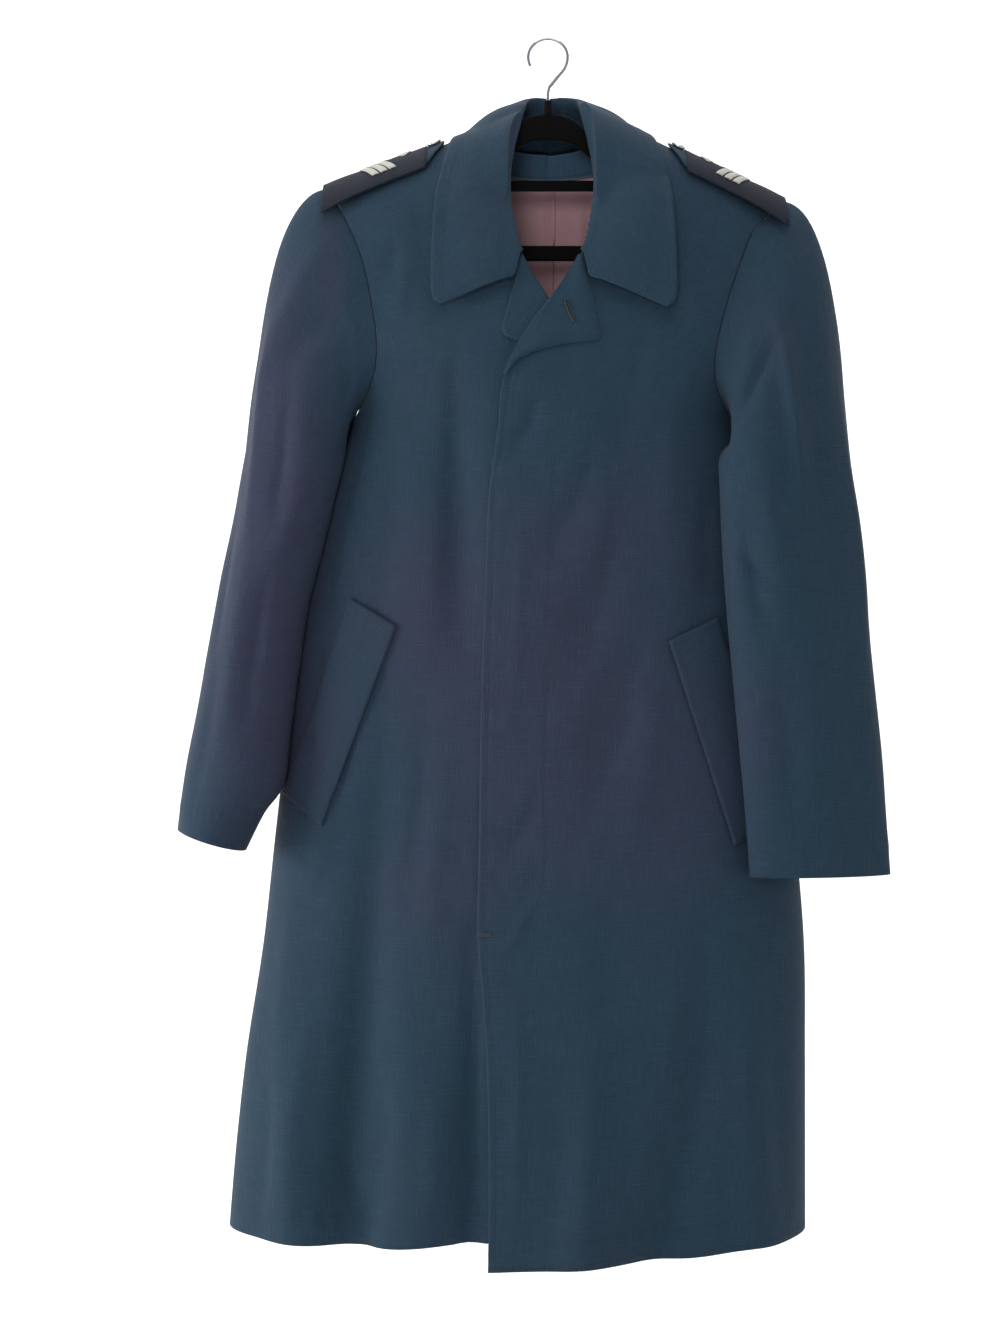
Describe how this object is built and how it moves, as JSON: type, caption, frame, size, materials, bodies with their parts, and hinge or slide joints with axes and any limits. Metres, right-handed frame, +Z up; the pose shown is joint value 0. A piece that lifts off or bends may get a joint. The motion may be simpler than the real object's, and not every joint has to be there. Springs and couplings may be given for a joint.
{
  "type": "overcoat on a hanger",
  "caption": "Blue single-breasted fly-front military-style overcoat with shoulder straps and rank slides, hanging on a slim black hanger.",
  "frame": {"origin": "inside top of the hanger's hook, where it rests on a rail", "axes": "+Z up, the coat's front towards -Y, the wearer's left towards +X"},
  "size_m": [0.695, 0.2384, 1.2045],
  "materials": {
    "blue_gabardine": "matt, finely slubbed weave with a slight sheen",
    "mauve_lining": "smooth, slight sheen",
    "navy_slide": "matt",
    "silver_braid": "ribbed braid",
    "button_metal": "satin",
    "black_flock": "flocked",
    "steel_wire": "bright"
  },
  "bodies": {
    "root": {"back": "blue_gabardine", "back_lining": "mauve_lining", "collar": "blue_gabardine", "hanger_frame": "black_flock", "hanger_hook": "steel_wire", "hanger_nub": "black_flock", "hanger_tie_bar": "black_flock", "left_chevron_1": "silver_braid", "left_chevron_2": "silver_braid", "left_chevron_3": "silver_braid", "left_motif": "silver_braid", "left_pocket_welt": "blue_gabardine", "left_sleeve": "blue_gabardine", "left_slide": "navy_slide", "left_strap": "blue_gabardine", "left_strap_button": "button_metal", "neck_facing": "blue_gabardine", "over_front": "blue_gabardine", "over_lapel": "blue_gabardine", "right_chevron_1": "silver_braid", "right_chevron_2": "silver_braid", "right_chevron_3": "silver_braid", "right_motif": "silver_braid", "right_pocket_welt": "blue_gabardine", "right_sleeve": "blue_gabardine", "right_slide": "navy_slide", "right_strap": "blue_gabardine", "right_strap_button": "button_metal", "under_front": "blue_gabardine", "under_lapel": "blue_gabardine"}
  },
  "joints": []
}
